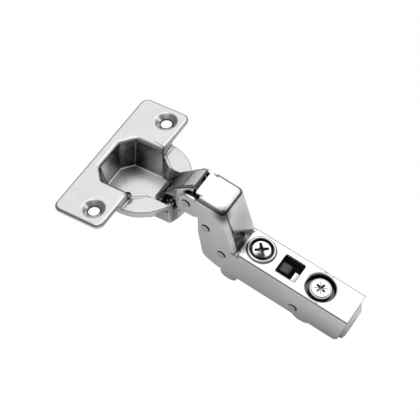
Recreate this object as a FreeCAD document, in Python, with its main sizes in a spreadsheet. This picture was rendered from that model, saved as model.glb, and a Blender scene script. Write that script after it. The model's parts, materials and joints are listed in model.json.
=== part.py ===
import FreeCAD, Part
import math
import os
import re
import Sketcher
from FreeCAD import Placement, Rotation, Vector

# Cranked cabinet hinge, 35 mm cup, shown 104 degrees open. Millimetres.
# Row frame: origin midway between the two cup screws on the door face, +Z out of the door,
# +X towards the arm, hinge axis along Y. Arm frame: x along the arm, z up from its top plate,
# turned by the open angle about Y and set at arm_x, arm_z.

os.makedirs("parts", exist_ok=True)
doc = FreeCAD.newDocument("CrankedHinge")

SIZES = {
    # pose of the arm
    "tilt": (14.41, "arm past square to the door face, degrees"),
    "arm_x": (40.31, "foot of the crank in the row frame"),
    "arm_z": (-11.29, "foot of the crank in the row frame"),
    # pivots
    "cup_outer_x": (15.6, "cup pin of the outer link, row frame"),
    "cup_outer_z": (-5.4, "cup pin of the outer link, row frame"),
    "cup_inner_x": (19.9, "cup pin of the inner link, row frame"),
    "cup_inner_z": (-4.1, "cup pin of the inner link, row frame"),
    "arm_outer_x": (-14.8, "arm pivot of the outer link, arm frame"),
    "arm_outer_z": (12.0, "arm pivot of the outer link, arm frame"),
    "arm_inner_x": (-5.1, "arm pivot of the inner link, arm frame"),
    "arm_inner_z": (4.3, "arm pivot of the inner link, arm frame"),
    "cross_x": (3.5, "cross pin, arm frame"),
    "cross_z": (-6.0, "cross pin, arm frame"),
    "lever_back": (16.0, "rear of the clip base to the lever pin"),
    "lever_z": (-11.35, "lever pin, arm frame"),
    "pin_r": (1.5, "arm pins"),
    "cup_pin_r": (1.25, "cup pins"),
    "running": (0.05, "radial clearance of a pin in a moving piece"),
    "side_gap": (0.1, "side clearance between nested stampings"),
    # sheet
    "steel": (1.2, "sheet of the arm and links"),
    "cup_sheet": (1.0, "sheet of the cup"),
    "crank_bend_r": (2.3, "outside of the long bends on the crank"),
    "arm_bend_r": (0.9, "outside of the long bends on the arm"),
    # cup
    "hole_half": (24.0, "half the distance between the cup screws"),
    "hole_back": (6.0, "screw line to the middle of the cup"),
    "bore_r": (17.5, "radius of the bore in the door"),
    "flange_back": (14.0, "screw line to the back edge of the flange"),
    "flange_front": (7.0, "screw line to the front edge of the wings"),
    "flange_half": (30.65, "half the length of the flange"),
    "flange_corner": (3.0, "corner radius of the flange"),
    "flange_rise": (2.0, "height of the flange over the door face"),
    "flange_roll": (0.6, "bevelled edge of the flange"),
    "screw_hole_r": (2.2, "cup screw hole"),
    "sink_r": (4.4, "countersink"),
    "deck_drop": (1.3, "front half of the cup below the door face"),
    "cup_depth": (11.3, "outside depth below the door face"),
    "rim_depth": (4.5, "depth of the round locating rim"),
    "pocket_back": (9.7, "pocket mouth, back edge"),
    "pocket_back_half": (6.5, "pocket mouth, half of the back edge"),
    "pocket_side": (5.2, "pocket mouth, back of the straight sides"),
    "pocket_half": (11.6, "pocket mouth, half width"),
    "pocket_front": (6.8, "pocket mouth, front of the straight sides"),
    "throat_x": (12.2, "start of the exit slot"),
    "slot_half": (7.3, "half width of the exit slot"),
    "floor_back": (9.1, "floor, back edge"),
    "floor_back_half": (4.2, "floor, half of the back edge"),
    "floor_half": (8.5, "floor, half width"),
    "floor_front": (7.7, "floor, front of the straight sides"),
    "floor_neck": (10.8, "floor, start of the slot"),
    "pocket_corner": (2.0, "upright corners of the pocket"),
    "cutout_half": (6.2, "gap in the front wall, half width"),
    "cutout_z": (4.5, "gap in the front wall, depth"),
    "notch_z": (7.2, "centre notch in the front wall, depth"),
    # outer link
    "link_half": (5.2, "outer link, half width"),
    "link_eye": (2.8, "outer link, cup eye"),
    "link_hub": (3.6, "outer link, arm eye"),
    "web_lean_x": (-24.3, "outer link web, first bend"),
    "web_lean_z": (9.1, "outer link web, first bend"),
    "web_fold_x": (-18.2, "outer link web, second bend"),
    "web_fold_z": (17.0, "outer link web, second bend"),
    "web_tip_x": (-14.4, "outer link web, front edge"),
    "web_tip_z": (21.1, "outer link web, front edge"),
    # inner link
    "bar_half": (3.3, "inner link, half width"),
    "bar_eye": (2.15, "inner link, cup eye"),
    "bar_hub": (4.4, "inner link, arm eye"),
    "slack_x": (-1.09, "middle of the clearance eye from its pin"),
    "slack_z": (0.66, "middle of the clearance eye from its pin"),
    "slack_r": (2.85, "clearance eye"),
    # casing
    "casing_half": (7.2, "casing, half width"),
    "crank_z": (19.0, "top of the crank"),
    "crank_front": (-10.7, "front of the crank's top plate"),
    "crank_lip": (-12.9, "front of the tongue on the top plate"),
    "crank_rear": (0.3, "head of the slope"),
    "crank_foot": (9.3, "foot of the slope"),
    "crank_round": (2.6, "bend from the top plate to the slope"),
    "relief_half": (0.35, "half the length of the relief slits at the foot"),
    "relief_drop": (1.4, "height of the relief slits"),
    "rear_gap": (4.9, "rear of the clip base to the rear end of the arm"),
    "arm_low": (-15.0, "lower edge of the arm"),
    "rear_lip": (2.4, "depth of the bent-down rear end"),
    "bulge": (1.5, "swelling of the lower edge behind the lever pin"),
    "belly_x": (3.0, "front of the straight lower edge"),
    "jaw_x": (-3.2, "lower front corner of the side"),
    "jaw_z": (-13.0, "lower front corner of the side"),
    "neck_x": (-7.3, "front edge of the side"),
    "neck_z": (-1.0, "front edge of the side"),
    "nape_x": (-8.9, "corner between the side and its ear"),
    "nape_z": (8.6, "corner between the side and its ear"),
    "lobe_x": (-10.2, "ear, lower edge"),
    "lobe_z": (6.8, "ear, lower edge"),
    "ear_x": (-17.3, "ear, lower front corner"),
    "ear_z": (4.9, "ear, lower front corner"),
    "crown_x": (-18.2, "ear, upper front corner"),
    "crown_z": (17.2, "ear, upper front corner"),
    "head_proud": (0.3, "pin ends outside the casing"),
    "collar_x": (15.7, "side screw"),
    "collar_r": (5.7, "raised collar round the side screw"),
    "collar_in": (4.6, "inside of the collar"),
    "collar_rise": (0.9, "height of the collar"),
    "window_front": (24.0, "window, front edge"),
    "window_rear": (32.4, "window, rear edge"),
    "window_half": (4.35, "window, half width"),
    "cam_back": (10.2, "rear of the clip base to the depth cam"),
    "cam_hole_r": (5.7, "hole over the depth cam"),
    "dish_r": (6.6, "dished edge of that hole"),
    "dish_drop": (0.4, "depth of the dished edge"),
    # clip base and carrier
    "base_drop": (2.6, "top of the clip base below the arm's top plate"),
    "base_front": (9.8, "front of the clip base"),
    "base_rear": (51.5, "rear of the clip base"),
    "base_low": (-14.2, "lower edge of the clip base"),
    "hook_low": (-20.7, "lower end of the front hooks"),
    "hook_front": (4.7, "front of the front hooks"),
    "hook_rear": (11.5, "rear of the front hooks"),
    "travel": (1.5, "depth adjustment each way"),
    "carrier_front": (11.5, "front of the carrier"),
    "carrier_back": (2.0, "rear of the clip base to the rear of the carrier"),
    "carrier_low": (-13.4, "lower edge of the carrier"),
    # screws
    "head_r": (4.3, "side screw head"),
    "shank_r": (2.4, "side screw shank"),
    "screw_end": (-8.6, "end of the side screw"),
    "disc_r": (4.35, "depth cam disc"),
    "lobe_r": (2.0, "depth cam eccentric"),
    "journal_r": (1.8, "depth cam journal"),
    "side_turn": (42.0, "rest position of the side screw, degrees"),
    "cam_turn": (-15.0, "rest position of the depth cam, degrees"),
    # lever
    "lever_half": (5.8, "release lever, half width at the rear"),
    "leg_half": (3.2, "release lever, legs"),
    "leg_eye": (2.4, "release lever, eye"),
    # springs
    "coil_r": (3.2, "closing spring, middle of the wire"),
    "wire_r": (0.55, "closing spring wire"),
}

DERIVED = {
    "lean_cos": "cos(tilt)",
    "lean_sin": "sin(tilt)",
    "link_cup_x": "(cup_outer_x - arm_x) * lean_cos - (cup_outer_z - arm_z) * lean_sin",
    "link_cup_z": "(cup_outer_x - arm_x) * lean_sin + (cup_outer_z - arm_z) * lean_cos",
    "bar_cup_x": "(cup_inner_x - arm_x) * lean_cos - (cup_inner_z - arm_z) * lean_sin",
    "bar_cup_z": "(cup_inner_x - arm_x) * lean_sin + (cup_inner_z - arm_z) * lean_cos",
    "arm_end": "base_rear + rear_gap",
    "carrier_rear": "base_rear - carrier_back",
    "cam_x": "base_rear - cam_back",
    "lever_x": "base_rear - lever_back",
    "casing_in": "casing_half - steel",
    "base_half": "casing_in - side_gap",
    "base_in": "base_half - steel",
    "carrier_half": "base_in - side_gap",
    "carrier_in": "carrier_half - steel",
    "base_under": "-base_drop - steel",
    "carrier_top": "base_under - side_gap",
    "carrier_under": "carrier_top - steel",
    "wall_out": "slot_half + cup_sheet",
    "link_in": "link_half - steel",
}

sheet = doc.addObject("Spreadsheet::Sheet", "Sizes")
row = 0
for name, (size, note) in SIZES.items():
    row += 1
    sheet.set(f"A{row}", note)
    sheet.set(f"B{row}", str(size))
    sheet.setAlias(f"B{row}", name)
for name, formula in DERIVED.items():
    row += 1
    sheet.set(f"B{row}", "=" + formula)
    sheet.setAlias(f"B{row}", name)
doc.recompute()
NAMES = set(SIZES) | set(DERIVED)


def bound(text):
    """An expression with the full address of each named size."""
    def address(found):
        return "Sizes." + found.group() if found.group() in NAMES else found.group()
    return re.sub(r"[a-z][a-z_0-9]*", address, str(text))


def measure(text):
    """The present value of an expression."""
    result = sheet.evalExpression(bound(text))
    return float(getattr(result, "Value", result))


def bind(thing, prop, text):
    thing.setExpression(prop, bound(text))


def shifted(corners, distance, closed=False):
    """The corners of a path moved a distance to the right of its walking direction."""
    def direction(start, end):
        run = f"(({end[0]}) - ({start[0]}))"
        rise = f"(({end[1]}) - ({start[1]}))"
        length = f"sqrt({run} ^ 2 + {rise} ^ 2)"
        return f"({rise} / {length})", f"(-{run} / {length})"

    moved = []
    count = len(corners)
    for index, corner in enumerate(corners):
        sides = []
        if closed or index > 0:
            sides.append(direction(corners[index - 1], corner))
        if closed or index < count - 1:
            sides.append(direction(corner, corners[(index + 1) % count]))
        if len(sides) == 1:
            across, up = sides[0]
            share = f"({distance})"
        else:
            (nx, nz), (mx, mz) = sides
            across = f"({nx} + {mx})"
            up = f"({nz} + {mz})"
            share = f"(({distance}) / (1 + {nx} * {mx} + {nz} * {mz}))"
        moved.append((f"{corner[0]} + {across} * {share}", f"{corner[1]} + {up} * {share}") + corner[2:])
    return moved


def mirrored(corners):
    """The corners followed by their reflections across the x axis, in walking order."""
    return corners + [(c[0], f"-({c[1]})") + tuple(c[2:]) for c in reversed(corners)]


def draw_polygon(sketch, corners):
    """A closed polygon bound to its corners; a third entry rounds the corner to that radius."""
    count = len(corners)
    places = [Vector(measure(c[0]), measure(c[1]), 0) for c in corners]
    cuts = []
    for index, corner in enumerate(corners):
        here = places[index]
        back = (places[index - 1] - here).normalize()
        ahead = (places[(index + 1) % count] - here).normalize()
        if len(corner) < 3:
            cuts.append((here, here, back, ahead))
            continue
        reach = measure(corner[2]) / math.tan(back.getAngle(ahead) / 2)
        cuts.append((here + back * reach, here + ahead * reach, back, ahead))
    sides = []
    for index in range(count):
        line = Part.LineSegment(cuts[index][1], cuts[(index + 1) % count][0])
        sides.append(sketch.addGeometry(line, False))

    def fix(kind, geometry, point, text):
        number = sketch.addConstraint(
            Sketcher.Constraint(kind, -1, 1, geometry, point, measure(text)))
        bind(sketch, f"Constraints[{number}]", text)

    for index, corner in enumerate(corners):
        before, after = sides[index - 1], sides[index]
        start, end, back, ahead = cuts[index]
        if len(corner) < 3:
            sketch.addConstraint(Sketcher.Constraint("Coincident", before, 2, after, 1))
            fix("DistanceX", after, 1, corner[0])
            fix("DistanceY", after, 1, corner[1])
            continue
        radius = measure(corner[2])
        middle = (back + ahead).normalize()
        centre = places[index] + middle * (radius / math.sin(back.getAngle(ahead) / 2))
        left_turn = back.cross(ahead).z < 0
        first, last = (start, end) if left_turn else (end, start)
        angles = [math.atan2(p.y - centre.y, p.x - centre.x) for p in (first, last)]
        circle = Part.Circle(centre, Vector(0, 0, 1), radius)
        arc = sketch.addGeometry(Part.ArcOfCircle(circle, *angles), False)
        mark = sketch.addGeometry(Part.Point(places[index]), True)
        near, far = (1, 2) if left_turn else (2, 1)
        sketch.addConstraint(Sketcher.Constraint("Tangent", before, 2, arc, near))
        sketch.addConstraint(Sketcher.Constraint("Tangent", after, 1, arc, far))
        sketch.addConstraint(Sketcher.Constraint("PointOnObject", mark, 1, before))
        sketch.addConstraint(Sketcher.Constraint("PointOnObject", mark, 1, after))
        fix("DistanceX", mark, 1, corner[0])
        fix("DistanceY", mark, 1, corner[1])
        number = sketch.addConstraint(Sketcher.Constraint("Radius", arc, radius))
        bind(sketch, f"Constraints[{number}]", corner[2])


def draw_circle(sketch, x, y, radius):
    circle = Part.Circle(Vector(measure(x), measure(y), 0), Vector(0, 0, 1), measure(radius))
    ring = sketch.addGeometry(circle, False)
    for kind, text in (("DistanceX", x), ("DistanceY", y)):
        number = sketch.addConstraint(Sketcher.Constraint(kind, -1, 1, ring, 3, measure(text)))
        bind(sketch, f"Constraints[{number}]", text)
    number = sketch.addConstraint(Sketcher.Constraint("Radius", ring, measure(radius)))
    bind(sketch, f"Constraints[{number}]", radius)


def sketch_on(body, name, plane, loops, lift="0"):
    """A sketch on an origin plane; each loop is a polygon or a circle (x, y, radius)."""
    sketch = body.newObject("Sketcher::SketchObject", name + "_sketch")
    support = next(part for part in body.Origin.OriginFeatures if part.Role == plane)
    sketch.AttachmentSupport = [(support, "")]
    sketch.MapMode = "FlatFace"
    bind(sketch, "AttachmentOffset.Base.z", lift)
    for loop in loops:
        if isinstance(loop, tuple):
            draw_circle(sketch, *loop)
        else:
            draw_polygon(sketch, loop)
    return sketch


def finish(body, feature):
    body.Tip = feature
    doc.recompute()
    if "Invalid" in feature.State or "Error" in feature.State or feature.Shape.isNull():
        raise RuntimeError(f"{feature.Label}: {feature.State}")
    return feature


def solid(body, kind, name, plane, loops, length, lift="0", both=False, up=False):
    """A pad or a pocket of closed loops, one-sided or symmetric about the plane."""
    before = body.Tip.Shape.Volume if body.Tip and not body.Tip.Shape.isNull() else 0
    sketch = sketch_on(body, name, plane, loops, lift)
    feature = body.newObject("PartDesign::" + kind, name)
    feature.Profile = sketch
    feature.SideType = "Symmetric" if both else "One side"
    feature.Reversed = up
    bind(feature, "Length", length)
    finish(body, feature)
    change = feature.Shape.Volume - before
    if (kind == "Pocket") == (change > -1e-6):
        raise RuntimeError(f"{name}: volume changed by {change}")
    return feature


def pad(body, name, plane, loops, length, **more):
    return solid(body, "Pad", name, plane, loops, length, **more)


def pocket(body, name, plane, loops, length, **more):
    return solid(body, "Pocket", name, plane, loops, length, **more)


def loft(body, kind, name, lower, upper):
    """A ruled loft between two level polygons, each (loops, lift)."""
    sketches = [sketch_on(body, f"{name}_{label}", "XY_Plane", [loop], lift)
                for label, (loop, lift) in (("low", lower), ("high", upper))]
    feature = body.newObject("PartDesign::" + kind, name)
    feature.Profile = sketches[0]
    feature.Sections = [sketches[1]]
    feature.Ruled = True
    return finish(body, feature)


def turned(body, kind, name, corners, plane="XZ_Plane"):
    """A profile turned about the upright axis of its sketch."""
    sketch = sketch_on(body, name, plane, [corners])
    feature = body.newObject("PartDesign::" + kind, name)
    feature.Profile = sketch
    feature.ReferenceAxis = (sketch, ["V_Axis"])
    feature.Angle = 360
    return finish(body, feature)


def dress(body, kind, name, size, test):
    """Fillet or chamfer the edges of the tip that pass a test."""
    base = body.Tip
    edges = [f"Edge{number}" for number, edge in enumerate(base.Shape.Edges, start=1) if test(edge)]
    feature = body.newObject("PartDesign::" + kind, name)
    feature.Base = (base, edges)
    bind(feature, "Radius" if kind == "Fillet" else "Size", size)
    return finish(body, feature)


def along(corners, half, reach):
    """A test for the edges of both side faces that keep within reach of a path."""
    places = [(measure(c[0]), measure(c[1])) for c in corners]
    limit, side = measure(reach), measure(half)

    def test(edge):
        box = edge.BoundBox
        if box.YLength > 0.01 or abs(abs(box.Center.y) - side) > 0.01:
            return False
        middle = edge.valueAt((edge.FirstParameter + edge.LastParameter) / 2)
        for (x0, z0), (x1, z1) in zip(places, places[1:]):
            run, rise = x1 - x0, z1 - z0
            share = ((middle.x - x0) * run + (middle.z - z0) * rise) / (run ** 2 + rise ** 2)
            share = min(1, max(0, share))
            if math.hypot(middle.x - x0 - share * run, middle.z - z0 - share * rise) < limit:
                return True
        return False
    return test


def groove_at(body, name, plane, corners, axis):
    """A groove turned about the upright line at a distance from the sketch's own axis."""
    sketch = sketch_on(body, name, plane, [corners])
    place = measure(axis)
    line = sketch.addGeometry(Part.LineSegment(Vector(place, -1, 0), Vector(place, 1, 0)), True)
    sketch.addConstraint(Sketcher.Constraint("Vertical", line))
    number = sketch.addConstraint(Sketcher.Constraint("DistanceX", -1, 1, line, 1, place))
    bind(sketch, f"Constraints[{number}]", axis)
    groove = body.newObject("PartDesign::Groove", name)
    groove.Profile = sketch
    groove.ReferenceAxis = (sketch, ["Axis0"])
    groove.Angle = 360
    return finish(body, groove)


def body_named(name):
    body = doc.addObject("PartDesign::Body", name)
    body.Label = name
    return body


def in_arm(body, x="0", z="0"):
    """Set a body in the arm frame, its origin at x, z there."""
    body.Placement = Placement(Vector(0, 0, 0), Rotation(Vector(0, 1, 0), measure("tilt")))
    bind(body, "Placement.Rotation.Angle", "tilt")
    bind(body, "Placement.Base.x", f"arm_x + ({x}) * lean_cos + ({z}) * lean_sin")
    bind(body, "Placement.Base.z", f"arm_z - ({x}) * lean_sin + ({z}) * lean_cos")
    return body


def box_loop(x0, x1, half, corner=None):
    tail = () if corner is None else (corner,)
    return mirrored([(x0, f"-({half})") + tail, (x1, f"-({half})") + tail])


def spun(corners, angle):
    """Corners turned about the origin by an angle in degrees."""
    return [(f"({x}) * cos({angle}) - ({y}) * sin({angle})", f"({x}) * sin({angle}) + ({y}) * cos({angle})")
            for x, y in corners]


def cross_loop(reach, half, angle):
    """Outline of a cross recess."""
    arm = [(reach, f"-({half})"), (reach, half), (half, half)]
    corners = []
    for quarter in range(4):
        corners += spun(arm, f"{angle} + {90 * quarter}")
    return corners


def bar_loop(x0, z0, r0, x1, z1, r1):
    """Outline of a bar with an eye of its own radius round each end point."""
    run, rise = f"(({x1}) - ({x0}))", f"(({z1}) - ({z0}))"
    length = f"sqrt({run} ^ 2 + {rise} ^ 2)"
    ux, uz = f"({run} / {length})", f"({rise} / {length})"
    corners = []
    for px, pz, radius, along, side in ((x0, z0, r0, -1, 1), (x0, z0, r0, -1, -1),
                                        (x1, z1, r1, 1, -1), (x1, z1, r1, 1, 1)):
        corners.append((f"{px} + ({radius}) * ({along} * {ux} - ({side}) * {uz})",
                        f"{pz} + ({radius}) * ({along} * {uz} + ({side}) * {ux})",
                        f"0.98 * ({radius})"))
    return corners


# Cup and flange

cup = body_named("hinge_cup")
cup_mid = "hole_back"
flange = box_loop("-flange_back", "flange_front", "flange_half", "flange_corner")
pad(cup, "flange", "XY_Plane", [flange], "flange_rise")


def outer_top_edge(edge):
    box = edge.BoundBox
    return box.ZMin > measure("flange_rise") - 0.01


dress(cup, "Chamfer", "flange_edge", "flange_roll", outer_top_edge)
pocket(cup, "hollow", "XY_Plane",
       [box_loop("-flange_back + steel", "flange_front - steel", "flange_half - steel",
                 "flange_corner - steel")], "flange_rise - steel", up=True)
pad(cup, "screw_seats", "XY_Plane",
    [("0", "hole_half", "sink_r + cup_sheet"), ("0", "-hole_half", "sink_r + cup_sheet")],
    "flange_rise - steel + 0.2")
pad(cup, "rim_back", "XY_Plane",
    [box_loop("-flange_back + steel", "flange_front", "bore_r")],
    "flange_rise - steel + deck_drop + cup_sheet + 0.2", lift="-deck_drop - cup_sheet")
pad(cup, "deck", "XY_Plane", [(cup_mid, "0", "bore_r")], "cup_sheet",
    lift="-deck_drop - cup_sheet")
pad(cup, "rim", "XY_Plane",
    [(cup_mid, "0", "bore_r"), (cup_mid, "0", "bore_r - cup_sheet")],
    "rim_depth - deck_drop", lift="-rim_depth")

mouth = mirrored([("-pocket_back", "-pocket_back_half", "pocket_corner"),
                  ("-pocket_side", "-pocket_half", "pocket_corner"),
                  ("pocket_front", "-pocket_half", "pocket_corner"),
                  ("throat_x", "-slot_half")])
floor = mirrored([("-floor_back", "-floor_back_half", "0.75 * pocket_corner"),
                  ("-pocket_side", "-floor_half", "0.75 * pocket_corner"),
                  ("floor_front", "-floor_half", "0.4 * pocket_corner"),
                  ("floor_neck", "-slot_half")])
loft(cup, "AdditiveLoft", "pocket_shell",
     (shifted([c[:2] for c in floor], "cup_sheet", closed=True), "-cup_depth"),
     (shifted([c[:2] for c in mouth], "cup_sheet", closed=True), "flange_rise - steel + 0.1"))
pad(cup, "slot_block", "XY_Plane",
    [box_loop("floor_front", "hole_back + bore_r", "wall_out")],
    "cup_depth - deck_drop", lift="-cup_depth")
pocket(cup, "round", "XY_Plane",
       [box_loop("-40", "50", "45"), (cup_mid, "0", "bore_r")], "2 * cup_depth")
loft(cup, "SubtractiveLoft", "pocket_hollow",
     (floor, "-cup_depth + cup_sheet"), (mouth, "flange_rise"))
front_in = "hole_back + bore_r - 1.1 * cup_sheet"
pocket(cup, "slot", "XY_Plane",
       [mirrored([("floor_front", "-slot_half"),
                  (f"{front_in} - 1.7", "-slot_half", "0.5"),
                  (front_in, "-0.45 * slot_half", "2.5")])],
       "flange_rise + cup_depth - cup_sheet", lift="flange_rise")
pocket(cup, "front_gap", "XY_Plane",
       [box_loop(f"{front_in} - 4", "hole_back + bore_r + 2", "cutout_half")],
       "cutout_z + 1", lift="1")
pocket(cup, "front_notch", "XY_Plane",
       [box_loop(f"{front_in} - 4", "hole_back + bore_r + 2", "bar_half + 0.5")],
       "notch_z + 1", lift="1")
pocket(cup, "screw_holes", "XY_Plane",
       [("0", "hole_half", "screw_hole_r"), ("0", "-hole_half", "screw_hole_r")],
       "3 * flange_rise", lift="2 * flange_rise")
for side, sign in (("far", ""), ("near", "-")):
    groove_at(cup, f"countersink_{side}", "YZ_Plane",
              [(f"{sign}hole_half", "flange_rise + 0.1"),
               (f"{sign}hole_half + sink_r + 0.1", "flange_rise + 0.1"),
               (f"{sign}hole_half + screw_hole_r - 0.1", "0.2"),
               (f"{sign}hole_half", "0.2")], f"{sign}hole_half")
pocket(cup, "pin_holes", "XZ_Plane",
       [("cup_outer_x", "cup_outer_z", "cup_pin_r"), ("cup_inner_x", "cup_inner_z", "cup_pin_r")],
       "4 * wall_out", both=True)

# Pins, each turned about its own length

def pin(name, radius, half_length):
    body = body_named(name)
    turned(body, "Revolution", "shaft",
           [("0", f"-({half_length})"), (radius, f"-({half_length})"), (radius, half_length),
            ("0", half_length)], "XY_Plane")
    return body


for name, x, z in (("cup_pin_outer", "cup_outer_x", "cup_outer_z"),
                   ("cup_pin_inner", "cup_inner_x", "cup_inner_z")):
    body = pin(name, "cup_pin_r", "wall_out")
    bind(body, "Placement.Base.x", x)
    bind(body, "Placement.Base.z", z)
for name, place in (("pivot_pin_outer", "arm_outer"), ("pivot_pin_inner", "arm_inner"),
                    ("cross_pin", "cross"), ("lever_pin", "lever")):
    body = pin(name, "pin_r", "casing_half + head_proud")
    in_arm(body, place + "_x", place + "_z")

# Outer link: a bent channel, web outside

link = body_named("outer_link")
in_arm(link)
web_run = "(web_lean_x - link_cup_x)"
web_rise = "(web_lean_z - link_cup_z)"
web_length = f"sqrt({web_run} ^ 2 + {web_rise} ^ 2)"
web_x, web_z = f"({web_run} / {web_length})", f"({web_rise} / {web_length})"


def at_eye(ahead, out):
    """A point by the cup pin: link_eye radii along the web and out from it."""
    return (f"link_cup_x + link_eye * ({ahead} * {web_x} - {out} * {web_z})",
            f"link_cup_z + link_eye * ({ahead} * {web_z} + {out} * {web_x})")


heel = [at_eye("0", "1"), at_eye("-sin(45)", "sin(45)"), at_eye("-1", "0")]
sole = (f"link_cup_x + link_eye * (0.6 * {web_z} - {web_x})",
        f"link_cup_z - link_eye * (0.6 * {web_x} + {web_z})", "1.6")
lean = ("web_lean_x", "web_lean_z", "15")
fold = ("web_fold_x", "web_fold_z", "8")
tip = ("web_tip_x", "web_tip_z")
run, rise = "(arm_outer_x - link_cup_x)", "(arm_outer_z - link_cup_z)"
length = f"sqrt({run} ^ 2 + {rise} ^ 2)"
ux, uz = f"({run} / {length})", f"({rise} / {length})"
hub = (f"arm_outer_x + link_hub * ({ux} + {uz})", f"arm_outer_z + link_hub * ({uz} - {ux})", "link_hub")
brow = (f"arm_outer_x + link_hub * {ux} - 0.6 * link_hub * {uz}",
        f"arm_outer_z + link_hub * {uz} + 0.6 * link_hub * {ux}")
web_path = [heel[0], lean, fold, tip]
web_inside = shifted(web_path, "steel")
edge_back = web_inside[3][:2]


def beside(along, right):
    """A point along the line from the cup pin to the arm pivot and to the right of it."""
    return (f"link_cup_x + ({along}) * {ux} + ({right}) * {uz}",
            f"link_cup_z + ({along}) * {uz} - ({right}) * {ux}")


belly = [hub, beside("7.8", "2.6") + ("1.5",), beside("6.1", "-0.35") + ("0.5",),
         beside("link_eye + 0.1", "-0.35") + ("0.25",), beside("link_eye", "link_eye") + ("2",)]
pad(link, "blank", "XZ_Plane", [web_path + [edge_back, brow] + belly + [sole] + heel[:0:-1]],
    "2 * link_half", both=True)
dress(link, "Fillet", "link_bends", "1.4", along(web_path, "link_half", "1.2"))
pocket(link, "inside", "XZ_Plane",
       [[(f"link_cup_x - (link_eye - steel) * {web_z}", f"link_cup_z + (link_eye - steel) * {web_x}"),
         web_inside[1], web_inside[2],
         (f"{web_inside[3][0]} + 4", f"{web_inside[3][1]} + 4 * (web_tip_z - web_fold_z) / (web_tip_x - web_fold_x)"),
         ("0", "15"), ("0", "-15"), ("link_cup_x - 6", "-15"), ("link_cup_x - 5.2", "link_cup_z - 3.4")]],
       "2 * link_in", both=True)
pocket(link, "link_bores", "XZ_Plane",
       [("link_cup_x", "link_cup_z", "cup_pin_r + running"),
        ("arm_outer_x", "arm_outer_z", "pin_r + running")], "4 * link_half", both=True)

# Inner link: a solid bar, its arm eye opened for the play of the linkage

bar = body_named("inner_link")
in_arm(bar)
hub_x, hub_z = "(arm_inner_x + slack_x)", "(arm_inner_z + slack_z)"
pad(bar, "blank", "XZ_Plane",
    [bar_loop("bar_cup_x", "bar_cup_z", "bar_eye", "arm_inner_x", "arm_inner_z", "bar_eye")],
    "2 * bar_half", both=True)
pad(bar, "hub", "XZ_Plane", [(hub_x, hub_z, "bar_hub")], "2 * bar_half", both=True)
pocket(bar, "bar_bores", "XZ_Plane",
       [("bar_cup_x", "bar_cup_z", "cup_pin_r + running"), (hub_x, hub_z, "slack_r")],
       "4 * bar_half", both=True)

# Casing: cranked arm of bent sheet with ears for the outer link

casing = body_named("arm_casing")
in_arm(casing)
top = [("crank_front", "crank_z"), ("crank_rear", "crank_z", "crank_round"), ("crank_foot", "0"),
       ("arm_end", "0")]
under = [("arm_end - 1.1", "arm_low", "2.2"), ("lever_x + 7.9", "arm_low", "1.0"),
         ("lever_x + 6.1", "arm_low - bulge + 0.2", "1.2"), ("lever_x + 3.1", "arm_low - bulge", "1.5"),
         ("lever_x + 0.5", "arm_low", "1.5"), ("belly_x", "arm_low", "3"), ("jaw_x", "jaw_z", "3.5"),
         ("neck_x", "neck_z", "8"), ("nape_x", "nape_z", "0.6"), ("lobe_x", "lobe_z", "0.9"),
         ("lobe_x - 3.4", "lobe_z - 0.4", "1"), ("ear_x", "ear_z", "1.6"), ("crown_x", "crown_z", "4.2"),
         ("crown_x + 6.2", "crown_z - 0.3", "0.8"), ("crank_front + 0.1", "crank_z - 2.9")]
pad(casing, "blank", "XZ_Plane", [top + under], "2 * casing_half", both=True)
slit = [("crank_foot - relief_half", "casing_half - crank_bend_r - 0.1"),
        ("crank_foot + relief_half", "casing_half - crank_bend_r - 0.1"),
        ("crank_foot + relief_half", "casing_half + 1"), ("crank_foot - relief_half", "casing_half + 1")]
pocket(casing, "relief", "XY_Plane", [slit, [(x, f"-({y})") for x, y in slit]],
       "2 * relief_drop", lift="relief_drop")
dress(casing, "Fillet", "crank_bends", "crank_bend_r",
      along(top[:3], "casing_half", "0.25 * crank_round"))
dress(casing, "Fillet", "arm_bends", "arm_bend_r", along(top[2:], "casing_half", "arm_bend_r"))
inner_top = shifted(top, "steel")
inner_side = shifted(top, "1.5 * steel + 0.5 * crank_bend_r")
slope_end = (f"{inner_side[1][0]} - (steel + {inner_side[1][1]}) * (crank_rear - crank_foot) / crank_z",
             "-steel")
pocket(casing, "inside", "XZ_Plane",
       [[("2 * crown_x", "crank_z"), ("crank_front", "crank_z"), ("crank_front", inner_side[0][1]),
         inner_side[1][:2], slope_end, ("arm_end - steel", "-steel"),
         ("arm_end - steel", "-rear_lip"), ("2 * arm_end", "-rear_lip"), ("2 * arm_end", "4 * arm_low"),
         ("2 * crown_x", "4 * arm_low")]], "2 * casing_in", both=True)
pocket(casing, "inside_top", "XZ_Plane",
       [[("2 * crown_x", inner_top[0][1]), (inner_top[1][0], inner_top[1][1], "crank_round - steel"),
         inner_top[2][:2], (inner_top[2][0], "-2 * steel"), ("2 * crown_x", "-2 * steel")]],
       "2 * casing_in - crank_bend_r", both=True)
pad(casing, "tongue", "XY_Plane",
    [mirrored([("crank_lip", "-link_half", "0.6"), ("crank_front + 1", "-link_half")])], "steel",
    lift="crank_z - steel")
pad(casing, "collar", "XY_Plane", [("collar_x", "0", "collar_r")], "collar_rise")
dress(casing, "Chamfer", "collar_edge", "0.5",
      lambda edge: edge.BoundBox.ZMin > measure("collar_rise") - 0.01
      and edge.BoundBox.XMax < measure("collar_x + collar_r + 0.1")
      and edge.BoundBox.XMin > measure("collar_x - collar_r - 0.1"))
pocket(casing, "collar_seat", "XY_Plane", [("collar_x", "0", "collar_in")],
       "collar_rise + 0.6", lift="collar_rise")
pocket(casing, "screw_way", "XY_Plane", [("collar_x", "0", "shank_r + 0.3")], "4", lift="1")
pocket(casing, "window", "XY_Plane",
       [box_loop("window_front", "window_rear", "window_half", "0.8")], "3", lift="1")
pocket(casing, "cam_hole", "XY_Plane", [("cam_x", "0", "cam_hole_r")], "3", lift="1")
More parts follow.
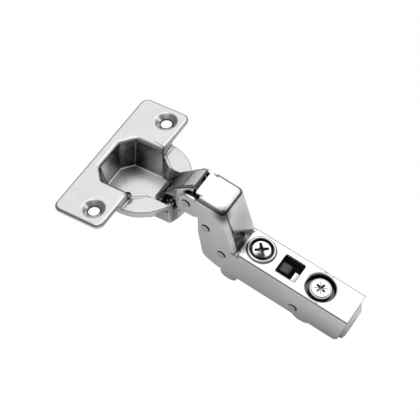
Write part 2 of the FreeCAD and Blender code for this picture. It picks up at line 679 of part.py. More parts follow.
groove_at(casing, "dish", "XZ_Plane",
          [("cam_x", "0.1"), ("cam_x + dish_r", "0.1"), ("cam_x + dish_r", "0"),
           ("cam_x + cam_hole_r - 0.1", "-dish_drop"), ("cam_x", "-dish_drop")], "cam_x")
pocket(casing, "casing_bores", "XZ_Plane",
       [(place + "_x", place + "_z", "pin_r") for place in ("arm_outer", "arm_inner", "cross", "lever")],
       "4 * casing_half", both=True)

# Clip base: outer channel with the front hooks that catch the mounting plate

base = body_named("clip_base")
in_arm(base)
side = [("base_front", "-base_drop"), ("base_rear", "-base_drop"), ("base_rear", "base_low", "1"),
        ("hook_rear + 0.7", "base_low", "1"), ("hook_rear", "hook_low", "3"),
        ("hook_front", "hook_low", "3"), ("hook_front", "base_low + 0.7", "2"),
        ("base_front", "base_low + 2.2", "1")]
pad(base, "blank", "XZ_Plane", [side], "2 * base_half", both=True)
dress(base, "Fillet", "base_bends", "1.2",
      lambda edge: edge.BoundBox.ZMin > measure("-base_drop") - 0.01 and edge.BoundBox.YLength < 0.01)
pocket(base, "inside", "XZ_Plane",
       [[("-40", "base_under"), ("80", "base_under"), ("80", "-60"), ("-40", "-60")]],
       "2 * base_in", both=True)
pocket(base, "pin_slots", "XZ_Plane",
       [[("lever_x - travel - pin_r - 0.2", "lever_z - pin_r - 0.1", "pin_r"),
         ("lever_x + travel + pin_r + 0.2", "lever_z - pin_r - 0.1", "pin_r"),
         ("lever_x + travel + pin_r + 0.2", "lever_z + pin_r + 0.1", "pin_r"),
         ("lever_x - travel - pin_r - 0.2", "lever_z + pin_r + 0.1", "pin_r")]],
       "4 * base_half", both=True)
pocket(base, "screw_slot", "XY_Plane",
       [box_loop("collar_x - travel - shank_r - 0.6", "collar_x + travel + shank_r + 0.6",
                 "shank_r + 0.5", "1.5")], "4", lift="0")
pocket(base, "base_window", "XY_Plane",
       [[("window_front - 2.5", "-window_half"), ("window_front + 6.2", "-window_half", "1"),
         ("window_front + 6.2", "1.2"), ("window_rear + 1.6", "1.2"),
         ("window_rear + 1.6", "window_half"), ("window_front - 2.5", "window_half")]], "4", lift="0")
pocket(base, "cam_slot", "XY_Plane",
       [box_loop("cam_x - lobe_r - 0.35", "cam_x + lobe_r + 0.35", "lobe_r + travel + 0.2", "1")],
       "4", lift="0")

# Carrier: inner channel that takes the side screw and the depth cam

carrier = body_named("carrier")
in_arm(carrier)
pad(carrier, "blank", "XZ_Plane",
    [[("carrier_front", "carrier_top"), ("carrier_rear", "carrier_top"),
      ("carrier_rear", "carrier_low", "2"), ("carrier_front", "carrier_low", "3")]],
    "2 * carrier_half", both=True)
pocket(carrier, "inside", "XZ_Plane",
       [[("-40", "carrier_under"), ("80", "carrier_under"), ("80", "-60"), ("-40", "-60")]],
       "2 * carrier_in", both=True)
pocket(carrier, "carrier_bore", "XZ_Plane", [("lever_x", "lever_z", "pin_r + running")],
       "4 * carrier_half", both=True)
pocket(carrier, "carrier_window", "XY_Plane",
       [box_loop("window_front - 1.5", "window_rear + 1.5", "carrier_in - 0.6")], "8", lift="0")
pocket(carrier, "threads", "XY_Plane",
       [("collar_x", "0", "shank_r + 0.35"), ("cam_x", "0", "journal_r + running")], "8", lift="0")

# Side screw and depth cam, each turned about its own axis

screw = body_named("side_screw")
in_arm(screw, "collar_x")
turned(screw, "Revolution", "screw",
       [("0", "screw_end"), ("shank_r", "screw_end"), ("shank_r", "-0.6"), ("head_r", "-0.6"),
        ("head_r", "0"), ("head_r - 0.9", "0.7"), ("0", "0.7")])
pocket(screw, "cross", "XY_Plane", [cross_loop("0.62 * head_r", "0.11 * head_r", "side_turn")],
       "2.8", lift="1")

cam = body_named("depth_cam")
in_arm(cam, "cam_x")
turned(cam, "Revolution", "disc",
       [("0", "-base_drop + 0.1"), ("disc_r", "-base_drop + 0.1"), ("disc_r", "-0.9"),
        ("disc_r - 0.75", "-0.9"), ("disc_r - 0.75", "-0.5"), ("0", "-0.5")])
pad(cam, "eccentric", "XY_Plane", [("0", "travel", "lobe_r")],
    "steel + side_gap + 0.1", lift="carrier_top + 0.05")
pad(cam, "journal", "XY_Plane", [("0", "0", "journal_r")],
    "steel + 0.4", lift="carrier_under - 0.3")
pocket(cam, "recess", "XY_Plane", [cross_loop("0.46 * disc_r", "0.1 * disc_r", "cam_turn")],
       "2.0", lift="0")
for quarter in range(4):
    ray = [("0.2 * disc_r", "-0.08"), ("0.6 * disc_r", "-0.08"), ("0.6 * disc_r", "0.08"), ("0.2 * disc_r", "0.08")]
    pocket(cam, f"ray_{quarter}", "XY_Plane", [spun(ray, f"cam_turn + {45 + 90 * quarter}")],
           "0.9", lift="0")

# Release lever: closes the rear end, its legs on the lever pin

lever = body_named("release_lever")
in_arm(lever)
pad(lever, "tail", "XZ_Plane",
    [[("arm_end - 1.7", "-4.1"), ("arm_end - 0.2", "-4.1", "0.5"), ("arm_end + 1.3", "-9.5", "6"),
      ("arm_end", "arm_low + 1.2", "1"), ("arm_end - 2.5", "arm_low + 1.2"), ("arm_end - 2.7", "-9.0")]],
    "2 * lever_half", both=True)
pad(lever, "legs", "XZ_Plane",
    [bar_loop("lever_x", "lever_z", "leg_eye", "arm_end - 1.9", "lever_z", "leg_eye")],
    "2 * leg_half", both=True)
pocket(lever, "gap", "XZ_Plane",
       [[("lever_x - 10", "-2"), ("arm_end - 3.4", "-2"), ("arm_end - 3.4", "2 * arm_low"),
         ("lever_x - 10", "2 * arm_low")]], "2 * (leg_half - 1)", both=True)
pocket(lever, "lever_bore", "XZ_Plane", [("lever_x", "lever_z", "pin_r + running")],
       "4 * leg_half", both=True)

# Springs

coil = body_named("closing_spring")
in_arm(coil, "arm_outer_x", "arm_outer_z")
turned(coil, "Revolution", "turns",
       [("coil_r - wire_r", "-6 * wire_r"), ("coil_r + wire_r", "-6 * wire_r"),
        ("coil_r + wire_r", "6 * wire_r"), ("coil_r - wire_r", "6 * wire_r")], "XY_Plane")
pad(coil, "leg", "XZ_Plane",
    [bar_loop("0.5", "coil_r", "0.9 * wire_r", "10.0", "coil_r + 1.2", "0.9 * wire_r")],
    "1.8 * wire_r", both=True)

twist = body_named("lever_spring")
in_arm(twist, "lever_x", "lever_z")
turned(twist, "Revolution", "turns",
       [("pin_r + 0.3", "-1.8"), ("pin_r + 0.9", "-1.8"), ("pin_r + 0.9", "1.8"), ("pin_r + 0.3", "1.8")],
       "XY_Plane")

leaf = body_named("detent_spring")
in_arm(leaf)
spine = [("window_front - 3.4", "-base_drop"), ("window_front - 0.6", "-base_drop"),
         ("window_front + 1.2", "-2.05"), ("window_front + 4.2", "-2.05"), ("window_front + 5.4", "-3.6")]
lower = [(c[0], c[1]) for c in spine]
upper = shifted(spine, "-0.5")
pad(leaf, "strip", "XZ_Plane",
    [[lower[0]] + [upper[0], (upper[1][0], upper[1][1], "1.2"), (upper[2][0], upper[2][1], "1.5"),
     (upper[3][0], upper[3][1], "1.8"), upper[4], lower[4], (lower[3][0], lower[3][1], "1.3"),
     (lower[2][0], lower[2][1], "1.0"), (lower[1][0], lower[1][1], "1.7")]], "3.8", both=True)

doc.recompute()
parts = [thing for thing in doc.Objects if thing.TypeId == "PartDesign::Body"]
for thing in doc.Objects:
    if "Invalid" in thing.State or "Error" in thing.State:
        raise RuntimeError(f"{thing.Label}: {thing.State}")
for body in parts:
    if body.Shape.isNull() or not body.Shape.isValid() or not body.Shape.Solids:
        raise RuntimeError(f"{body.Label}: no valid solid")
    body.Shape.exportStep(f"parts/{body.Label}.step")
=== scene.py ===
import json
import math

import bpy
import bmesh
from mathutils import Matrix, Vector
from mathutils.bvhtree import BVHTree


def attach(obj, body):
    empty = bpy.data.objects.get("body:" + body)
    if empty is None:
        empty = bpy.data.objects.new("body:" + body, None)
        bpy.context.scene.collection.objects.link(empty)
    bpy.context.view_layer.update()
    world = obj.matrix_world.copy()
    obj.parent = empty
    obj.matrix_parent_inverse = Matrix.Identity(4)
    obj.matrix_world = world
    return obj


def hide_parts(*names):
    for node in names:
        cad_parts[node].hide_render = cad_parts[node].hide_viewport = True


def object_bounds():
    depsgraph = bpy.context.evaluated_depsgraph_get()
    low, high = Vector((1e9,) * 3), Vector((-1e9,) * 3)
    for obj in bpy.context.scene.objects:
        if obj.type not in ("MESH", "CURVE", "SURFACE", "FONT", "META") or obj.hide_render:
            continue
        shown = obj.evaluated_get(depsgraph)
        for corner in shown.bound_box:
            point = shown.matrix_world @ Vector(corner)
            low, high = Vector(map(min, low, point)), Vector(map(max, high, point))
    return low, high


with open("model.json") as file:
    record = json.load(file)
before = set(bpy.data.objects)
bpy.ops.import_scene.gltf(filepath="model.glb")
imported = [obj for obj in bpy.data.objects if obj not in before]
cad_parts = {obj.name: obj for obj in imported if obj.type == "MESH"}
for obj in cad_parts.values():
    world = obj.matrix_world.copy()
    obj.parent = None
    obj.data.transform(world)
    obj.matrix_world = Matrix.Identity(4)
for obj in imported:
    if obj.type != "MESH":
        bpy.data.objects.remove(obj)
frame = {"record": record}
cad_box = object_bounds()

MM = 0.001
TILT = math.radians(14.41)
ARM_AT = Vector((40.31, 0.0, -11.29)) * MM
ARM_TURN = Matrix.Rotation(TILT, 3, "Y")


def arm_point(x, y, z):
    """A point of the arm frame, given in millimetres, in the row frame."""
    return ARM_AT + ARM_TURN @ (Vector((x, y, z)) * MM)


# Materials

class Nodes:
    """Short hand for building a node tree."""

    def __init__(self, name):
        self.material = bpy.data.materials.new(name)
        self.material.use_nodes = True
        self.tree = self.material.node_tree
        self.tree.nodes.clear()
        self.output = self.add("ShaderNodeOutputMaterial")

    def add(self, kind, **settings):
        node = self.tree.nodes.new(kind)
        for key, value in settings.items():
            setattr(node, key, value)
        return node

    def link(self, source, target):
        self.tree.links.new(source, target)

    def set(self, node, **values):
        for key, value in values.items():
            node.inputs[key.replace("_", " ")].default_value = value
        return node

    def coordinates(self, scale=(1, 1, 1), turn=(0, 0, 0)):
        place = self.add("ShaderNodeTexCoord")
        mapping = self.add("ShaderNodeMapping")
        mapping.inputs["Scale"].default_value = scale
        mapping.inputs["Rotation"].default_value = turn
        self.link(place.outputs["Object"], mapping.inputs["Vector"])
        return mapping.outputs["Vector"]

    def noise(self, vector, scale, detail=4.0, rough=0.55):
        node = self.add("ShaderNodeTexNoise")
        self.set(node, Scale=scale, Detail=detail, Roughness=rough)
        self.link(vector, node.inputs["Vector"])
        return node.outputs["Fac"]

    def spread(self, value, low, high, start=0.3, end=0.7):
        node = self.add("ShaderNodeMapRange")
        node.inputs["From Min"].default_value = start
        node.inputs["From Max"].default_value = end
        node.inputs["To Min"].default_value = low
        node.inputs["To Max"].default_value = high
        self.link(value, node.inputs["Value"])
        return node.outputs["Result"]

    def ramp(self, value, stops):
        node = self.add("ShaderNodeValToRGB")
        ramp = node.color_ramp
        ramp.elements[0].position, ramp.elements[0].color = stops[0][0], (*stops[0][1], 1)
        ramp.elements[1].position, ramp.elements[1].color = stops[-1][0], (*stops[-1][1], 1)
        for position, color in stops[1:-1]:
            ramp.elements.new(position).color = (*color, 1)
        self.link(value, node.inputs["Fac"])
        return node.outputs["Color"]

    def blend(self, share, first, second):
        """Mix a color output towards a second color, which is an output or three numbers."""
        node = self.add("ShaderNodeMix", data_type="RGBA")
        self.link(share, node.inputs["Factor"])
        self.link(first, node.inputs[6])
        if isinstance(second, (list, tuple)):
            node.inputs[7].default_value = (*second, 1)
        else:
            self.link(second, node.inputs[7])
        return node.outputs[2]

    def times(self, first, second):
        node = self.add("ShaderNodeMath", operation="MULTIPLY")
        self.link(first, node.inputs[0])
        self.link(second, node.inputs[1])
        return node.outputs[0]

    def bump(self, height, strength, distance, normal=None):
        node = self.add("ShaderNodeBump")
        self.set(node, Strength=strength, Distance=distance)
        self.link(height, node.inputs["Height"])
        if normal is not None:
            self.link(normal, node.inputs["Normal"])
        return node.outputs["Normal"]


def spot_share(n, vector, centre, full, clear, depth):
    """Share of a soft spot of painted shade: depth at the full radius, none at the clear one.

    A full radius beyond the clear one darkens all that lies outside. Radii are in millimetres.
    """
    away = n.add("ShaderNodeVectorMath", operation="DISTANCE")
    away.inputs[1].default_value = centre
    n.link(vector, away.inputs[0])
    fade = n.add("ShaderNodeMapRange", interpolation_type="SMOOTHSTEP")
    near, wide = sorted((full, clear))
    inside, outside = (depth, 0.0) if full < clear else (0.0, depth)
    fade.inputs["From Min"].default_value = near * MM
    fade.inputs["From Max"].default_value = wide * MM
    fade.inputs["To Min"].default_value = inside
    fade.inputs["To Max"].default_value = outside
    n.link(away.outputs["Value"], fade.inputs["Value"])
    return fade.outputs["Result"]


def metal(name, low, high, rough, edge=0.2, lines=0.0, hollow_shade=0.0, reach=1.2, open_from=0.2,
          open_to=0.75, walls=False, spots=()):
    """Plated steel: cloudy tone, fine grain, micro-scratches, painted shade in hollows and softened
    edges.

    Lengths are in millimetres. Walls keeps the painted shade of the hollows to steep faces. A spot is a
    patch of painted shade or painted dark reflection, as spot_share takes it: a centre, the full and the
    clear radius, and a depth.
    """
    n = Nodes(name)
    even = n.coordinates()
    clouds = n.noise(even, 90, 5)
    fine = n.noise(even, 1800, 3)
    drawn = n.noise(n.coordinates((60, 2600, 2600)), 1.0, 3)
    scratch = n.add("ShaderNodeTexWave", wave_type="BANDS", bands_direction="DIAGONAL")
    n.set(scratch, Scale=420, Distortion=26, Detail=3, Detail_Scale=2.5)
    n.link(even, scratch.inputs["Vector"])
    scratches = n.spread(scratch.outputs["Fac"], 0, 1, 0.93, 1.0)
    tone = n.ramp(clouds, [(0.25, low), (0.75, high)])
    shader = n.add("ShaderNodeBsdfPrincipled")
    n.set(shader, Metallic=1.0)
    soft = n.add("ShaderNodeBevel", samples=6)
    n.set(soft, Radius=edge * MM)
    # Colour of the painted shade and the painted dark reflections
    dark = [0.06 * v for v in low]
    wear_and_painted_shade = n.blend(scratches, tone, [min(1.0, 1.12 * v) for v in high])
    # Painted shade: where ambient occlusion is low, the base colour is darkened, only on steep faces
    # when walls is set
    if hollow_shade > 0:
        hollow = n.add("ShaderNodeAmbientOcclusion", samples=8)
        n.set(hollow, Distance=reach * MM)
        share = n.spread(hollow.outputs["AO"], hollow_shade, 0.0, open_from, open_to)
        if walls:
            split = n.add("ShaderNodeSeparateXYZ")
            n.link(soft.outputs["Normal"], split.inputs["Vector"])
            steep = n.add("ShaderNodeMath", operation="ABSOLUTE")
            n.link(split.outputs["Z"], steep.inputs[0])
            share = n.times(share, n.spread(steep.outputs[0], 1.0, 0.12, 0.35, 0.85))
        wear_and_painted_shade = n.blend(share, wear_and_painted_shade, dark)
    # Painted shade and painted dark reflections, one soft dark spot each
    for spot in spots:
        wear_and_painted_shade = n.blend(spot_share(n, even, *spot), wear_and_painted_shade, dark)
    n.link(wear_and_painted_shade, shader.inputs["Base Color"])
    smooth = n.spread(clouds, rough * 0.88, rough * 1.15)
    add = n.add("ShaderNodeMath", operation="MULTIPLY_ADD")
    n.link(fine, add.inputs[0])
    add.inputs[1].default_value = 0.05
    n.link(smooth, add.inputs[2])
    n.link(add.outputs[0], shader.inputs["Roughness"])
    relief = n.bump(fine, 0.08, 0.00004, soft.outputs["Normal"])
    if lines > 0:
        relief = n.bump(drawn, lines, 0.00003, relief)
    relief = n.bump(scratches, 0.05, 0.00002, relief)
    n.link(relief, shader.inputs["Normal"])
    n.link(shader.outputs["BSDF"], n.output.inputs["Surface"])
    return n.material


# Places in the arm frame, in millimetres

PIVOT_OUTER, PIVOT_INNER = (-14.8, 12.0), (-5.1, 4.3)
CROSS_PIN, LEVER_PIN = (3.5, -6.0), (35.5, -11.35)
SIDE_SCREW_X, DEPTH_CAM_X = 15.7, 41.3

BRIGHT = ((0.74, 0.74, 0.75), (0.84, 0.84, 0.84))
SATIN = ((0.68, 0.68, 0.69), (0.78, 0.78, 0.78))
PIN_TONES = ((0.56, 0.56, 0.58), (0.68, 0.68, 0.69))
SCREW_TONES = ((0.72, 0.72, 0.72), (0.84, 0.84, 0.83))
SPRING_TONES = ((0.30, 0.30, 0.31), (0.42, 0.42, 0.43))
# Nearly black tones for the detent leaf and the carrier, so that the window onto them shows dark
LEAF_TONES = ((0.05, 0.05, 0.055), (0.10, 0.10, 0.11))
INNER_TONES = ((0.02, 0.02, 0.021), (0.035, 0.035, 0.036))

# Painted shade and painted dark reflections, as soft dark spots in the base colour: the pocket's walls,
# the foot and face of the slope, the crank's rear corner, painted shadow crescents round the pin ends,
# the link's web, the ring and recess of the side screw's head, and the ring round the cam
POCKET_SHADE_SPOTS = [
    (Vector((-6.0, 9.0, -6.3)) * MM, 3.0, 8.4, 0.82),
    (Vector((-9.0, 1.0, -5.0)) * MM, 2.0, 6.8, 0.5)]
SLOPE_FOOT = (arm_point(8.4, -3.0, 1.4), 1.2, 5.6, 0.93)
SLOPE = (arm_point(5.5, 0.0, 8.0), 2.0, 11.0, 0.3)
CRANK_CORNER_SHADE = (arm_point(0.4, -7.2, 17.4), 1.0, 6.0, 0.88)
PIN_SHADOWS = [(arm_point(x + 0.32, -7.2, z + 0.36), 1.6, 2.0, 0.95)
               for x, z in (PIVOT_OUTER, PIVOT_INNER, CROSS_PIN, LEVER_PIN)]
WEB_REFLECTION_SPOTS = [(arm_point(-25.5, 3.0, 4.5), 4.5, 13.2, 0.97)]
SCREW_SHADE_SPOTS = [
    (arm_point(SIDE_SCREW_X, 0, 0.6), 4.0, 3.2, 0.9),
    (arm_point(SIDE_SCREW_X, 0.0, 0.7), 0.2, 2.2, 0.98),
    (arm_point(17.0, -3.0, 0.7), 1.0, 3.0, 0.99)]
CAM_SHADE_SPOTS = [(arm_point(DEPTH_CAM_X, 0, -0.6), 4.3, 3.7, 0.9)]

# In each finish the amount for the hollows is the depth of painted shade there, and the spots lay
# painted shade and painted dark reflections
finishes = {
    "nickel_bright": metal("nickel_bright", *BRIGHT, 0.09, edge=0.3, hollow_shade=0.6),
    "nickel_satin": metal("nickel_satin", *SATIN, 0.13, lines=0.06, hollow_shade=0.5),
    "cup_nickel": metal("cup_nickel", *SATIN, 0.19, edge=0.7, lines=0.05, hollow_shade=0.95, reach=9,
                        open_from=0.38, open_to=0.97, walls=True, spots=POCKET_SHADE_SPOTS),
    "arm_nickel": metal("arm_nickel", *BRIGHT, 0.09, edge=0.5, hollow_shade=0.6,
                        spots=[SLOPE_FOOT, SLOPE, CRANK_CORNER_SHADE] + PIN_SHADOWS),
    "link_nickel": metal("link_nickel", *BRIGHT, 0.10, edge=0.3, hollow_shade=0.6, spots=WEB_REFLECTION_SPOTS),
    "base_nickel": metal("base_nickel", *SATIN, 0.13, lines=0.05, hollow_shade=0.97, reach=3,
                         open_from=0.6, open_to=0.9),
    "pin_steel": metal("pin_steel", *PIN_TONES, 0.18, hollow_shade=0.5),
    "screw_nickel": metal("screw_nickel", *SCREW_TONES, 0.08, edge=0.4, hollow_shade=0.97, reach=1.6,
                          open_from=0.3, open_to=0.9, spots=SCREW_SHADE_SPOTS),
    "cam_nickel": metal("cam_nickel", *SCREW_TONES, 0.08, edge=0.3, hollow_shade=0.97, reach=1.2,
                        open_from=0.3, open_to=0.9, spots=CAM_SHADE_SPOTS),
    "spring_dark": metal("spring_dark", *SPRING_TONES, 0.30),
    "leaf_dark": metal("leaf_dark", *LEAF_TONES, 0.34),
    "inner_dark": metal("inner_dark", *INNER_TONES, 0.42, lines=0.1),
}

NODE_FINISH = {part["node"]: part["material_slot"] for part in frame["record"]["subparts"]}
NODE_FINISH.update(
    hinge_cup="cup_nickel", outer_link="link_nickel", arm_casing="arm_nickel",
    clip_base="base_nickel", carrier="inner_dark", depth_cam="cam_nickel", detent_spring="leaf_dark")
for name, finish in NODE_FINISH.items():
    mesh = bpy.data.objects[name].data
    mesh.materials.clear()
    mesh.materials.append(finishes[finish])


# The stampings with their drawn, rounded edges

FLANGE_RISE = 2.0 * MM      # top of the flange
FLANGE_FRONT = 7.0 * MM     # front edge of the wings
DECK = -1.3 * MM            # top of the round deck
STEP_RUN = 0.5 * MM         # length of the step from flange to deck
MOUTH_HALF = 12.5 * MM      # half width that holds the pocket mouth
SAME = 0.002 * MM           # points this near are one
EDGE_ANGLE = 32             # least angle of an edge that is rounded, degrees
MOUTH_ROLL, MOUTH_SEGMENTS = 1.4, 6
EDGE_SEGMENTS = 3
STRAY = 0.6 * MM            # a rounded corner stays this near to the sheet


def sharp_edges(form, least, test=None):
    return [edge for edge in form.edges
            if len(edge.link_faces) == 2 and edge.calc_face_angle() > math.radians(least)
            and (test is None or test(edge))]


def round_off(form, edges, width, segments):
    bmesh.ops.bevel(form, geom=edges, offset=width * MM, offset_type="OFFSET", segments=segments,
                    profile=0.5, affect="EDGES", clamp_overlap=False, miter_outer="ARC",
                    miter_inner="SHARP")


def cut(form, faces, place, direction):
    """Divide some faces where they cross a plane."""
    parts = set(faces)
    for face in faces:
        parts.update(face.edges)
        parts.update(face.verts)
    bmesh.ops.bisect_plane(form, geom=list(parts), plane_co=place, plane_no=direction)


def middle_of(edge):
    return (edge.verts[0].co + edge.verts[1].co) / 2


def flush_deck(form):
    """Lay the upper edge of the pocket's front walls level with the deck, ahead of the flange."""
    front = FLANGE_FRONT + STEP_RUN
    high = [face for face in form.faces if max(v.co.z for v in face.verts) > DECK + 0.05 * MM
            and max(v.co.x for v in face.verts) > front]
    cut(form, high, (front, 0, 0), (1, 0, 0))
    for vert in form.verts:
        if vert.co.x > front - 0.001 * MM and vert.co.z > DECK:
            vert.co.z = DECK
    bmesh.ops.remove_doubles(form, verts=form.verts, dist=SAME)
    bmesh.ops.dissolve_degenerate(form, edges=form.edges, dist=SAME)


def mouth_edge(edge):
    """An edge of the pocket mouth on top of the flange."""
    middle = middle_of(edge)
    level = all(abs(vert.co.z - FLANGE_RISE) < 0.01 * MM for vert in edge.verts)
    return level and abs(middle.y) < MOUTH_HALF and -10.2 * MM < middle.x < FLANGE_FRONT - 0.1 * MM


def at_step(edge):
    """A short edge where the pocket's walls step down from the flange to the deck."""
    return all(abs(vert.co.y) < MOUTH_HALF + 0.5 * MM and vert.co.z > DECK - 0.3 * MM
               and FLANGE_FRONT - 0.2 * MM < vert.co.x < FLANGE_FRONT + STEP_RUN + 0.2 * MM
               for vert in edge.verts)


def pocket_wall(edge):
    """An edge between two faces of the pocket's walls."""
    if len(edge.link_faces) != 2:
        return False
    middle = middle_of(edge)
    steep = all(abs(face.normal.z) < 0.5 for face in edge.link_faces)
    return steep and abs(middle.y) < 12 * MM and -10 * MM < middle.x < 13 * MM


def rounded(node, body, width, up=None, change=None, wide=None, cuts=()):
    """A copy of a node with its edges rounded by a width in millimetres, standing in its place.

    Only faces that look along up are joined before the rounding, or all when up is None. The
    cuts divide them again where they have holes. The edges that wide picks get the mouth's roll.
    """
    form = bmesh.new()
    form.from_mesh(bpy.data.objects[node].data)
    bmesh.ops.remove_doubles(form, verts=form.verts, dist=SAME)
    if change:
        change(form)
    flat = [edge for edge in form.edges if len(edge.link_faces) == 2
            and (up is None or all(face.normal.dot(up) > 0.99 for face in edge.link_faces))]
    bmesh.ops.dissolve_limit(form, angle_limit=math.radians(0.6), verts=[], edges=flat)
    if wide:
        walls = [edge for edge in form.edges if pocket_wall(edge)]
        bmesh.ops.dissolve_limit(form, angle_limit=math.radians(3), verts=[], edges=walls)
    for place, direction in cuts:
        top = [face for face in form.faces if face.normal.dot(up) > 0.99]
        cut(form, top, place, direction)
    before = BVHTree.FromBMesh(form)
    if wide:
        round_off(form, sharp_edges(form, EDGE_ANGLE, wide), MOUTH_ROLL, MOUTH_SEGMENTS)
    smooth = sharp_edges(form, EDGE_ANGLE, lambda edge: not at_step(edge))
    round_off(form, smooth, width, EDGE_SEGMENTS)
    for vert in form.verts:
        place, _, _, distance = before.find_nearest(vert.co)
        if distance > STRAY:
            vert.co = place
    mesh = bpy.data.meshes.new(node + "_rounded")
    form.to_mesh(mesh)
    form.free()
    mesh.shade_smooth()
    mesh.set_sharp_from_angle(angle=math.radians(38))
    mesh.materials.append(finishes[NODE_FINISH[node]])
    thing = bpy.data.objects.new(node + "_rounded", mesh)
    bpy.context.collection.objects.link(thing)
    settle = thing.modifiers.new("settle", "WEIGHTED_NORMAL")
    settle.keep_sharp = True
    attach(thing, body)
    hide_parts(node)


SCREW_HALF, WING = 24 * MM, 14 * MM
across = [((0, y, 0), (0, 1, 0)) for y in (SCREW_HALF, -SCREW_HALF, WING, -WING)]
along = [((0, 0, 0), (1, 0, 0))]
rounded("hinge_cup", "cup", 0.4, up=Vector((0, 0, 1)), change=flush_deck, wide=mouth_edge,
        cuts=across + along)
rounded("arm_casing", "arm", 0.22)
rounded("outer_link", "outer_link", 0.18)


# Wound springs and the screw thread

def mesh_piece(name, points, faces, finish, body):
    mesh = bpy.data.meshes.new(name)
    mesh.from_pydata([tuple(p) for p in points], [], faces)
    mesh.validate()
    mesh.shade_smooth()
    mesh.materials.append(finishes[finish])
    thing = bpy.data.objects.new(name, mesh)
    bpy.context.collection.objects.link(thing)
    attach(thing, body)
    return thing


def tube(path, radius, sides=10):
    """A round wire along a path of points, with closed ends."""
    points, faces = [], []
    side = None
    for index, place in enumerate(path):
        ahead = (path[min(index + 1, len(path) - 1)] - path[max(index - 1, 0)]).normalized()
        if side is None:
            side = ahead.orthogonal().normalized()
        side = (side - ahead * side.dot(ahead)).normalized()
        across = ahead.cross(side)
        for step in range(sides):
            turn = 2 * math.pi * step / sides
            points.append(place + (side * math.cos(turn) + across * math.sin(turn)) * radius)
    for ring in range(len(path) - 1):
        for step in range(sides):
            a, b = ring * sides + step, ring * sides + (step + 1) % sides
            faces.append((a, b, b + sides, a + sides))
    faces.append(tuple(range(sides))[::-1])
    faces.append(tuple(len(points) - sides + step for step in range(sides)))
    return points, faces


def coil_path(pivot, radius, wire, half, start, leg=()):
    """Points of a close-wound coil about a crosswise pin, with an end leg in the arm frame.

    Lengths are in millimetres, half is half the coil's width and start an angle in degrees.
    """
    turns = (2 * half - 2 * wire) / (2 * wire)
    count = int(turns * 28)
    path = []
    for index in range(count + 1):
        share = index / count
        turn = math.radians(start) - 2 * math.pi * turns * (1 - share)
        y = -half + wire + share * 2 * (half - wire)
        path.append(arm_point(pivot[0] + radius * math.cos(turn), y, pivot[1] + radius * math.sin(turn)))
    return path + [arm_point(pivot[0] + x, y, pivot[1] + z) for x, y, z in leg]


CLOSING_LEG = [(0.9, 2.6, 3.2), (2.2, 1.6, 3.35), (3.8, 0.5, 3.6), (5.2, 0.0, 3.8), (10.4, 0.0, 4.4)]
winding = coil_path(PIVOT_OUTER, 3.2, 0.55, 3.3, 90, CLOSING_LEG)
coil = mesh_piece("closing_coil", *tube(winding, 0.53 * MM, 12), "spring_dark", "arm")
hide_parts("closing_spring")
winding = coil_path(LEVER_PIN, 2.1, 0.3, 1.8, 90)
twist = mesh_piece("lever_coil", *tube(winding, 0.29 * MM, 8), "spring_dark", "arm")
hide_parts("lever_spring")

SHANK_R, THREAD_RISE, PITCH = 2.4, 0.10, 0.8
THREAD_TURNS, THREAD_STEPS, THREAD_LOW = 8.5, 24, -8.2
THREAD_ROOT, THREAD_FOOT = -0.05, 0.33


def thread_piece():
    """A helical ridge round the shank of the side screw."""
    points, faces = [], []
    count = int(THREAD_TURNS * THREAD_STEPS)
    for index in range(count + 1):
        turn = 2 * math.pi * index / THREAD_STEPS
        height = THREAD_LOW + PITCH * index / THREAD_STEPS
        fade = min(1, index / 8, (count - index) / 8)
        ridge = ((THREAD_ROOT, -THREAD_FOOT), (THREAD_RISE * fade, 0.0), (THREAD_ROOT, THREAD_FOOT))
        for out, up in ridge:
            r = SHANK_R + out
            points.append(arm_point(SIDE_SCREW_X + r * math.cos(turn), r * math.sin(turn), height + up))
    for index in range(count):
        a = 3 * index
        for k in range(3):
            faces.append((a + k, a + (k + 1) % 3, a + 3 + (k + 1) % 3, a + 3 + k))
    return mesh_piece("side_screw_thread", points, faces, "screw_nickel", "side_screw")


thread_piece()


# Floor, light and camera

def area_light(name, at, toward, size, power):
    light = bpy.data.lights.new(name, "AREA")
    light.shape = "RECTANGLE"
    light.size, light.size_y = size
    light.energy = power
    thing = bpy.data.objects.new(name, light)
    bpy.context.collection.objects.link(thing)
    thing.location = at
    thing.rotation_euler = (Vector(toward) - Vector(at)).to_track_quat("-Z", "Y").to_euler()
    return thing


FLOOR_GAP, FLOOR_REACH = 0.2 * MM, 1.2
# The floor carries a painted pool of light: its colour is pale within POOL_NEAR of the part and near
# black beyond POOL_FAR, and camera rays see it plain white
POOL_NEAR, POOL_FAR = 0.10, 0.17
floor_z = cad_box[0][2] - FLOOR_GAP
floor_mesh = bpy.data.meshes.new("floor")
corners = [(x * FLOOR_REACH, y * FLOOR_REACH, floor_z)
           for x, y in ((-1, -1), (1, -1), (1, 1), (-1, 1))]
floor_mesh.from_pydata(corners, [], [(0, 1, 2, 3)])
floor = bpy.data.objects.new("floor", floor_mesh)
bpy.context.collection.objects.link(floor)
n = Nodes("pale_floor")
grain = n.noise(n.coordinates(), 8, 3)
paint = n.add("ShaderNodeBsdfPrincipled")
n.set(paint, Roughness=0.85)
tone = n.ramp(grain, [(0.3, (0.74, 0.74, 0.74)), (0.7, (0.78, 0.78, 0.78))])
far = n.add("ShaderNodeVectorMath", operation="DISTANCE")
far.inputs[1].default_value = (0.03, 0.0, floor_z)
n.link(n.coordinates(), far.inputs[0])
dimmed = n.spread(far.outputs["Value"], 0, 1, POOL_NEAR, POOL_FAR)
n.link(n.blend(dimmed, tone, [0.02, 0.02, 0.02]), paint.inputs["Base Color"])
glow = n.add("ShaderNodeEmission")
n.set(glow, Color=(1, 1, 1, 1), Strength=1.0)
seen = n.add("ShaderNodeLightPath")
mix = n.add("ShaderNodeMixShader")
n.link(seen.outputs["Is Camera Ray"], mix.inputs["Fac"])
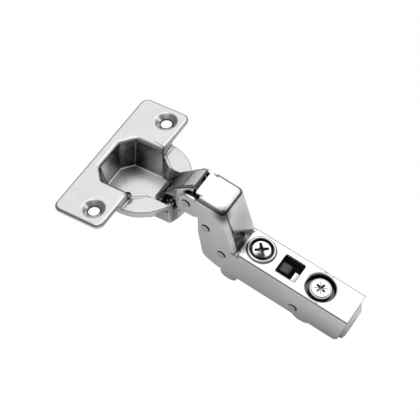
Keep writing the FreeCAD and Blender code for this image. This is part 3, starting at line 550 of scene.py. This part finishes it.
n.link(paint.outputs["BSDF"], mix.inputs[1])
n.link(glow.outputs["Emission"], mix.inputs[2])
n.link(mix.outputs["Shader"], n.output.inputs["Surface"])
floor_mesh.materials.append(n.material)


# The studio all round: dark near the horizon, light overhead, with soft panels. A horizon stop is
# a height and a level; a panel is a direction, the angles between which it fades, and a strength

HORIZON = ((-1.0, 0.02), (0.0, 0.02), (0.45, 0.03), (0.75, 0.08), (1.0, 0.25))
PANELS = (((-0.12, 0.52, 0.85), 14, 54, 0.85), ((0.04, 0.50, 0.865), 6, 16, 0.5),
          ((0.03, -0.20, 0.98), 12, 30, 0.6), ((0.65, 0.50, 0.57), 5, 15, 0.9),
          ((-0.866, 0.50, 0.0), 3, 8, 1.1))


def studio():
    world = bpy.data.worlds.new("studio")
    bpy.context.scene.world = world
    world.use_nodes = True
    tree = world.node_tree
    tree.nodes.clear()

    def add(kind, **settings):
        node = tree.nodes.new(kind)
        for key, value in settings.items():
            setattr(node, key, value)
        return node

    out = add("ShaderNodeOutputWorld")
    sky = add("ShaderNodeBackground")
    coord = add("ShaderNodeTexCoord")
    split = add("ShaderNodeSeparateXYZ")
    ramp = add("ShaderNodeValToRGB")
    lift = add("ShaderNodeMapRange")
    lift.inputs["From Min"].default_value = -1.0
    tree.links.new(coord.outputs["Generated"], split.inputs["Vector"])
    tree.links.new(split.outputs["Z"], lift.inputs["Value"])
    tree.links.new(lift.outputs["Result"], ramp.inputs["Fac"])
    first, last = ramp.color_ramp.elements
    for height, level in HORIZON:
        place = (height + 1) / 2
        stop = first if place == 0 else last if place == 1 else ramp.color_ramp.elements.new(place)
        stop.position = place
        stop.color = (level, level, level, 1)
    level = ramp.outputs["Color"]
    for direction, inner, outer, strength in PANELS:
        dot = add("ShaderNodeVectorMath", operation="DOT_PRODUCT")
        dot.inputs[1].default_value = Vector(direction).normalized()
        tree.links.new(coord.outputs["Generated"], dot.inputs[0])
        edge = add("ShaderNodeMapRange", interpolation_type="SMOOTHSTEP")
        edge.inputs["From Min"].default_value = math.cos(math.radians(outer))
        edge.inputs["From Max"].default_value = math.cos(math.radians(inner))
        edge.inputs["To Max"].default_value = strength
        tree.links.new(dot.outputs["Value"], edge.inputs["Value"])
        total = add("ShaderNodeVectorMath", operation="ADD")
        tree.links.new(level, total.inputs[0])
        tree.links.new(edge.outputs["Result"], total.inputs[1])
        level = total.outputs["Vector"]
    tree.links.new(level, sky.inputs["Color"])
    backdrop = add("ShaderNodeBackground")
    backdrop.inputs["Color"].default_value = (1, 1, 1, 1)
    seen = add("ShaderNodeLightPath")
    mix = add("ShaderNodeMixShader")
    tree.links.new(seen.outputs["Is Camera Ray"], mix.inputs["Fac"])
    tree.links.new(sky.outputs["Background"], mix.inputs[1])
    tree.links.new(backdrop.outputs["Background"], mix.inputs[2])
    tree.links.new(mix.outputs["Shader"], out.inputs["Surface"])


studio()

SUBJECT = Vector((0.03, 0.0, -0.01))
key = area_light("key", SUBJECT + Vector((-0.15, 0.25, 0.75)), SUBJECT, (0.5, 0.5), 3)
key.visible_glossy = False

CAMERA_AT = Vector((257.22, -291.28, 448.60)) * MM
CAMERA_RIGHT = Vector((0.84356, 0.53204, -0.07314))
CAMERA_UP = Vector((-0.37701, 0.68366, 0.62487))
FOCAL_PIXELS = 1603.58
IMAGE_WIDTH = 420
SENSOR = 36.0
lens = bpy.data.cameras.new("camera")
lens.sensor_width = SENSOR
lens.lens = SENSOR * FOCAL_PIXELS / IMAGE_WIDTH
lens.clip_start = 0.01
camera = bpy.data.objects.new("camera", lens)
bpy.context.collection.objects.link(camera)
right = CAMERA_RIGHT.normalized()
backward = right.cross(CAMERA_UP).normalized()
up = backward.cross(right)
camera.matrix_world = Matrix.Translation(CAMERA_AT) @ Matrix((right, up, backward)).transposed().to_4x4()
bpy.context.scene.camera = camera
bpy.context.scene.view_settings.view_transform = "Standard"
